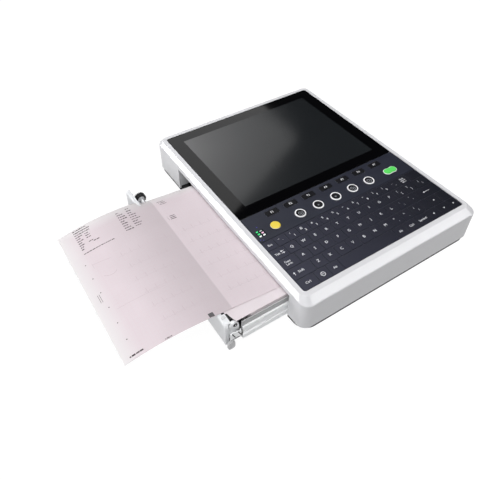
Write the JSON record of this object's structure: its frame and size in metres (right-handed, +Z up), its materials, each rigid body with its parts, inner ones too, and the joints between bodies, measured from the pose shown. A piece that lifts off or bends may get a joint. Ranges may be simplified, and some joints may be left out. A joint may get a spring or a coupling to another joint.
{
  "type": "ecg machine",
  "caption": "Flat desktop heart-tracing recorder: dark display over a full keypad, and a side drawer of folded chart paper with its platen roller, pulled open.",
  "frame": {"origin": "on the table, under the middle of the whole object's footprint, with the drawer and the sheet out", "axes": "+X to the operator's right, +Y to the back, +Z up; the drawer opens towards -X"},
  "size_m": [0.4546, 0.3546, 0.0547],
  "materials": {
    "white_housing": "white satin moulded shell with a fine spark texture",
    "black_base": "black moulded base with a fine grain",
    "dark_glass": "near-black printed cover glass, polished",
    "keypad_silicone": "dark blue-grey silicone keypad, matte, white printed legends",
    "key_black": "black hard key cap, some with a white ring",
    "key_yellow": "amber yellow domed key",
    "key_green": "light green key with a white rim",
    "light_window": "dark window with small green and white indicator lights",
    "drawer_white": "pale grey-white drawer moulding",
    "tray_grey": "mid grey tray moulding with pale slide ledges",
    "chart_paper": "pale pink chart paper with a fine grid and faint printed traces",
    "roller_rubber": "black platen rubber",
    "steel": "plain steel",
    "aluminium": "plain aluminium",
    "circuit_board": "green circuit board",
    "gear_nylon": "black nylon",
    "battery_wrap": "blue battery wrap",
    "socket_plastic": "black socket plastic",
    "foot_rubber": "black rubber foot",
    "head_ceramic": "print head ceramic"
  },
  "bodies": {
    "housing": {"upper_housing": "white_housing", "base_tray": "black_base", "battery_cover": "black_base", "display_glass": "dark_glass", "lcd_module": "aluminium", "ecg_input_module": "aluminium", "power_supply": "aluminium", "guide_rail_near": "aluminium", "guide_rail_far": "aluminium", "keypad_mat": "keypad_silicone", "keypad_board": "circuit_board", "main_board": "circuit_board", "status_window": "light_window", "battery_pack": "battery_wrap", "speaker": "socket_plastic", "mains_inlet": "socket_plastic", "switch_frame": "socket_plastic", "network_port": "socket_plastic", "head_mount": "steel", "stepper_motor": "steel", "gear_bracket": "steel", "earth_stud": "steel", "usb_port": "steel", "patient_connector": "steel", "foot_1": "foot_rubber", "foot_2": "foot_rubber", "foot_3": "foot_rubber", "foot_4": "foot_rubber"},
    "drawer": {"drawer_tray": "tray_grey", "drawer_front": "drawer_white", "bracket_near": "tray_grey", "bracket_far": "tray_grey", "bush_near": "aluminium", "bush_far": "aluminium", "paper_pack": "chart_paper", "paper_sheet": "chart_paper", "paper_sensor": "tray_grey", "drawer_foot": "tray_grey"},
    "platen": {"platen_roller": "roller_rubber", "platen_shaft": "steel", "platen_gear": "gear_nylon"},
    "latch": {"drawer_latch": "drawer_white"},
    "idler": {"idler_gear": "gear_nylon"},
    "motor_shaft": {"motor_pinion": "steel"},
    "head": {"print_head": "head_ceramic"},
    "rocker": {"power_switch": "socket_plastic"},
    "f_key_1": {"f_key_1": "key_black"},
    "f_key_2": {"f_key_2": "key_black"},
    "f_key_3": {"f_key_3": "key_black"},
    "f_key_4": {"f_key_4": "key_black"},
    "f_key_5": {"f_key_5": "key_black"},
    "f_key_6": {"f_key_6": "key_black"},
    "f_key_7": {"f_key_7": "key_black"},
    "round_key_1": {"round_key_1": "key_black"},
    "round_key_2": {"round_key_2": "key_black"},
    "round_key_3": {"round_key_3": "key_black"},
    "round_key_4": {"round_key_4": "key_black"},
    "round_key_5": {"round_key_5": "key_black"},
    "copy_key": {"copy_key": "key_yellow"},
    "start_key": {"start_key": "key_green"}
  },
  "joints": [
    {"name": "drawer_slide", "type": "slide", "parent": "housing", "child": "drawer", "axis": [1, 0, 0], "range_m": [0, 0.078]},
    {"name": "platen_spin", "type": "hinge", "parent": "drawer", "child": "platen", "pos_m": [-0.11265, -0.0383, 0.0336], "axis": [0, 1, 0], "continuous": true},
    {"name": "latch_flex", "type": "hinge", "parent": "drawer", "child": "latch", "pos_m": [-0.10825, -0.1481, 0.021], "axis": [0, 0, 1], "range_deg": [-5, 0], "stiffness_Nm_per_rad": 0.5, "springref_deg": 2.86},
    {"name": "idler_spin", "type": "hinge", "parent": "housing", "child": "idler", "pos_m": [-0.01905, 0.0872, 0.0275], "axis": [0, 1, 0], "continuous": true},
    {"name": "motor_spin", "type": "hinge", "parent": "housing", "child": "motor_shaft", "pos_m": [-0.007, 0.0872, 0.0232], "axis": [0, 1, 0], "continuous": true},
    {"name": "head_lift", "type": "hinge", "parent": "housing", "child": "head", "pos_m": [-0.02525, -0.0383, 0.0441], "axis": [0, 1, 0], "range_deg": [0, 2.5], "stiffness_Nm_per_rad": 8, "springref_deg": -1.72},
    {"name": "power_rocker", "type": "hinge", "parent": "housing", "child": "rocker", "pos_m": [0.05515, 0.1638, 0.0225], "axis": [1, 0, 0], "range_deg": [-13, 0]},
    {"name": "f_key_1_press", "type": "slide", "parent": "housing", "child": "f_key_1", "axis": [0, 0, -1], "range_m": [0, 0.0012], "stiffness_N_per_m": 500, "springref_m": -0.001},
    {"name": "f_key_2_press", "type": "slide", "parent": "housing", "child": "f_key_2", "axis": [0, 0, -1], "range_m": [0, 0.0012], "stiffness_N_per_m": 500, "springref_m": -0.001},
    {"name": "f_key_3_press", "type": "slide", "parent": "housing", "child": "f_key_3", "axis": [0, 0, -1], "range_m": [0, 0.0012], "stiffness_N_per_m": 500, "springref_m": -0.001},
    {"name": "f_key_4_press", "type": "slide", "parent": "housing", "child": "f_key_4", "axis": [0, 0, -1], "range_m": [0, 0.0012], "stiffness_N_per_m": 500, "springref_m": -0.001},
    {"name": "f_key_5_press", "type": "slide", "parent": "housing", "child": "f_key_5", "axis": [0, 0, -1], "range_m": [0, 0.0012], "stiffness_N_per_m": 500, "springref_m": -0.001},
    {"name": "f_key_6_press", "type": "slide", "parent": "housing", "child": "f_key_6", "axis": [0, 0, -1], "range_m": [0, 0.0012], "stiffness_N_per_m": 500, "springref_m": -0.001},
    {"name": "f_key_7_press", "type": "slide", "parent": "housing", "child": "f_key_7", "axis": [0, 0, -1], "range_m": [0, 0.0012], "stiffness_N_per_m": 500, "springref_m": -0.001},
    {"name": "round_key_1_press", "type": "slide", "parent": "housing", "child": "round_key_1", "axis": [0, 0, -1], "range_m": [0, 0.0012], "stiffness_N_per_m": 500, "springref_m": -0.001},
    {"name": "round_key_2_press", "type": "slide", "parent": "housing", "child": "round_key_2", "axis": [0, 0, -1], "range_m": [0, 0.0012], "stiffness_N_per_m": 500, "springref_m": -0.001},
    {"name": "round_key_3_press", "type": "slide", "parent": "housing", "child": "round_key_3", "axis": [0, 0, -1], "range_m": [0, 0.0012], "stiffness_N_per_m": 500, "springref_m": -0.001},
    {"name": "round_key_4_press", "type": "slide", "parent": "housing", "child": "round_key_4", "axis": [0, 0, -1], "range_m": [0, 0.0012], "stiffness_N_per_m": 500, "springref_m": -0.001},
    {"name": "round_key_5_press", "type": "slide", "parent": "housing", "child": "round_key_5", "axis": [0, 0, -1], "range_m": [0, 0.0012], "stiffness_N_per_m": 500, "springref_m": -0.001},
    {"name": "copy_key_press", "type": "slide", "parent": "housing", "child": "copy_key", "axis": [0, 0, -1], "range_m": [0, 0.0012], "stiffness_N_per_m": 500, "springref_m": -0.001},
    {"name": "start_key_press", "type": "slide", "parent": "housing", "child": "start_key", "axis": [0, 0, -1], "range_m": [0, 0.0012], "stiffness_N_per_m": 500, "springref_m": -0.001}
  ],
  "couplings": [
    {"joint": "idler_spin", "follows": "motor_spin", "ratio": -0.5}
  ]
}
